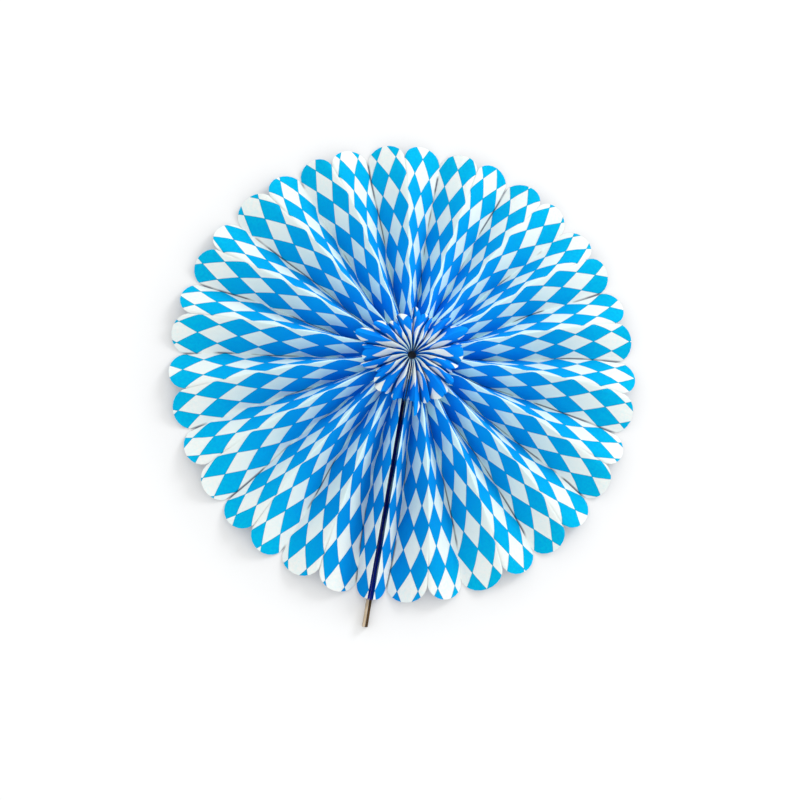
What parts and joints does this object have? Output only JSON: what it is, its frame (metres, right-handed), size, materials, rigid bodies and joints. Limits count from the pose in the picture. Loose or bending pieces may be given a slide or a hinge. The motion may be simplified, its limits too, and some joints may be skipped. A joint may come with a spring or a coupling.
{
  "type": "paper fan rosette",
  "caption": "Pleated tissue paper rosette with a blue and white lozenge print, opened to a full circle with an inner flower.",
  "frame": {"origin": "centre of the rosette, on the plane of its back creases", "axes": "+Z out of the front of the rosette, -Y along the seam towards the bar ends"},
  "size_m": [0.412, 0.4346, 0.0521],
  "materials": {
    "printed_tissue": "matte",
    "bar_board": "matte",
    "sticky_film": "matte",
    "white_thread": "matte"
  },
  "bodies": {
    "root": {"pleated_paper": "printed_tissue", "end_bar_left": "bar_board", "end_bar_right": "bar_board", "sticky_strip": "sticky_film", "tie_thread": "white_thread"}
  },
  "joints": []
}
